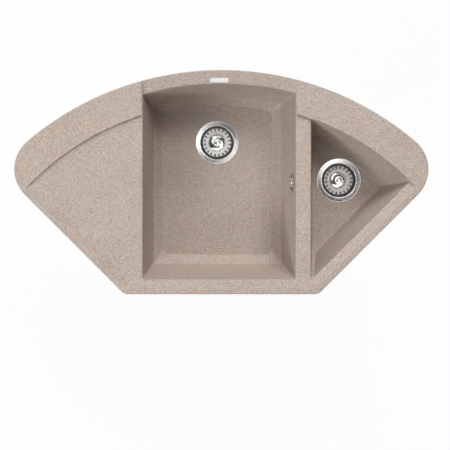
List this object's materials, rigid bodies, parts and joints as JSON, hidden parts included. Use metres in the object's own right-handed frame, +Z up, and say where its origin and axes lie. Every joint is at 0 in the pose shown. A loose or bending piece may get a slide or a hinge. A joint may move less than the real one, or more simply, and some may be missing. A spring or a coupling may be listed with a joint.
{
  "type": "kitchen sink",
  "caption": "Corner drop-in sink cast in speckled composite, with drainer, main bowl, small triangular bowl, basket strainers, overflow, trap and fixing clips.",
  "frame": {"origin": "on the worktop's plane, under the middle of the rim's front edge", "axes": "+X right along the front edge, +Y back to the corner, +Z up out of the worktop"},
  "size_m": [1.06, 0.574, 0.5387],
  "materials": {
    "stone_composite": "fine matt grain with dark and light specks",
    "badge_plastic": "satin",
    "chrome": "polished",
    "zinc_steel": "zinc plated",
    "stainless": "turned and brushed",
    "brass": "turned",
    "rubber": "matt",
    "hose_plastic": "satin, ribbed",
    "dowel_plastic": "matt",
    "white_plastic": "satin, moulded"
  },
  "bodies": {
    "sink": {"sink_body": "stone_composite", "badge_plate": "badge_plastic", "rim_seal": "rubber", "clip_screws": "zinc_steel", "clip_dowels": "dowel_plastic", "main_flange_gasket": "rubber", "main_strainer_cup": "stainless", "main_clamp_screw": "stainless", "main_lower_gasket": "rubber", "main_waste_body": "white_plastic", "main_brass_insert": "brass", "small_flange_gasket": "rubber", "small_strainer_cup": "stainless", "small_clamp_screw": "stainless", "small_lower_gasket": "rubber", "small_waste_body": "white_plastic", "small_brass_insert": "brass", "overflow_cover": "chrome", "overflow_screw": "chrome", "overflow_gasket": "rubber", "overflow_housing": "white_plastic", "overflow_insert": "brass", "overflow_hose": "hose_plastic", "hose_clips": "zinc_steel", "waste_tee": "white_plastic", "connecting_pipe": "white_plastic", "main_outlet_nut": "white_plastic", "main_outlet_washer": "rubber", "small_outlet_nut": "white_plastic", "small_outlet_washer": "rubber", "branch_nut": "white_plastic", "branch_washer": "rubber", "trap_inlet_nut": "white_plastic", "trap_inlet_washer": "rubber", "trap_head": "white_plastic", "trap_outlet_nut": "white_plastic", "trap_outlet_washer": "rubber", "outlet_pipe": "white_plastic"},
    "main_basket": {"main_basket": "stainless", "main_knob": "chrome", "main_basket_seal": "rubber", "main_basket_nut": "stainless"},
    "small_basket": {"small_basket": "stainless", "small_knob": "chrome", "small_basket_seal": "rubber", "small_basket_nut": "stainless"},
    "clip_1": {"fixing_clip_1": "zinc_steel"},
    "clip_2": {"fixing_clip_2": "zinc_steel"},
    "clip_3": {"fixing_clip_3": "zinc_steel"},
    "clip_4": {"fixing_clip_4": "zinc_steel"},
    "clip_5": {"fixing_clip_5": "zinc_steel"},
    "clip_6": {"fixing_clip_6": "zinc_steel"},
    "clip_7": {"fixing_clip_7": "zinc_steel"},
    "clip_8": {"fixing_clip_8": "zinc_steel"},
    "trap_cup": {"trap_cup": "white_plastic", "trap_cup_gasket": "rubber"}
  },
  "joints": [
    {"name": "main_basket_lift", "type": "slide", "parent": "sink", "child": "main_basket", "axis": [0, 0, 1], "range_m": [0, 0.06]},
    {"name": "small_basket_lift", "type": "slide", "parent": "sink", "child": "small_basket", "axis": [0, 0, 1], "range_m": [0, 0.06]},
    {"name": "clip_1_swing", "type": "hinge", "parent": "sink", "child": "clip_1", "pos_m": [-0.14904, 0.02, -0.0213], "axis": [0, 0, 1], "range_deg": [0, 90]},
    {"name": "clip_2_swing", "type": "hinge", "parent": "sink", "child": "clip_2", "pos_m": [0.14904, 0.02, -0.0213], "axis": [0, 0, 1], "range_deg": [0, 90]},
    {"name": "clip_3_swing", "type": "hinge", "parent": "sink", "child": "clip_3", "pos_m": [0.36002, 0.13991, -0.0213], "axis": [0, 0, 1], "range_deg": [0, 90]},
    {"name": "clip_4_swing", "type": "hinge", "parent": "sink", "child": "clip_4", "pos_m": [-0.36002, 0.13991, -0.0213], "axis": [0, 0, 1], "range_deg": [0, 90]},
    {"name": "clip_5_swing", "type": "hinge", "parent": "sink", "child": "clip_5", "pos_m": [0.48433, 0.37571, -0.0213], "axis": [0, 0, 1], "range_deg": [0, 90]},
    {"name": "clip_6_swing", "type": "hinge", "parent": "sink", "child": "clip_6", "pos_m": [0.25805, 0.50801, -0.0213], "axis": [0, 0, 1], "range_deg": [0, 90]},
    {"name": "clip_7_swing", "type": "hinge", "parent": "sink", "child": "clip_7", "pos_m": [-0.25805, 0.50801, -0.0213], "axis": [0, 0, 1], "range_deg": [0, 90]},
    {"name": "clip_8_swing", "type": "hinge", "parent": "sink", "child": "clip_8", "pos_m": [-0.48433, 0.37571, -0.0213], "axis": [0, 0, 1], "range_deg": [0, 90]},
    {"name": "trap_cup_drop", "type": "slide", "parent": "sink", "child": "trap_cup", "axis": [0, 0, -1], "range_m": [0, 0.06]}
  ]
}
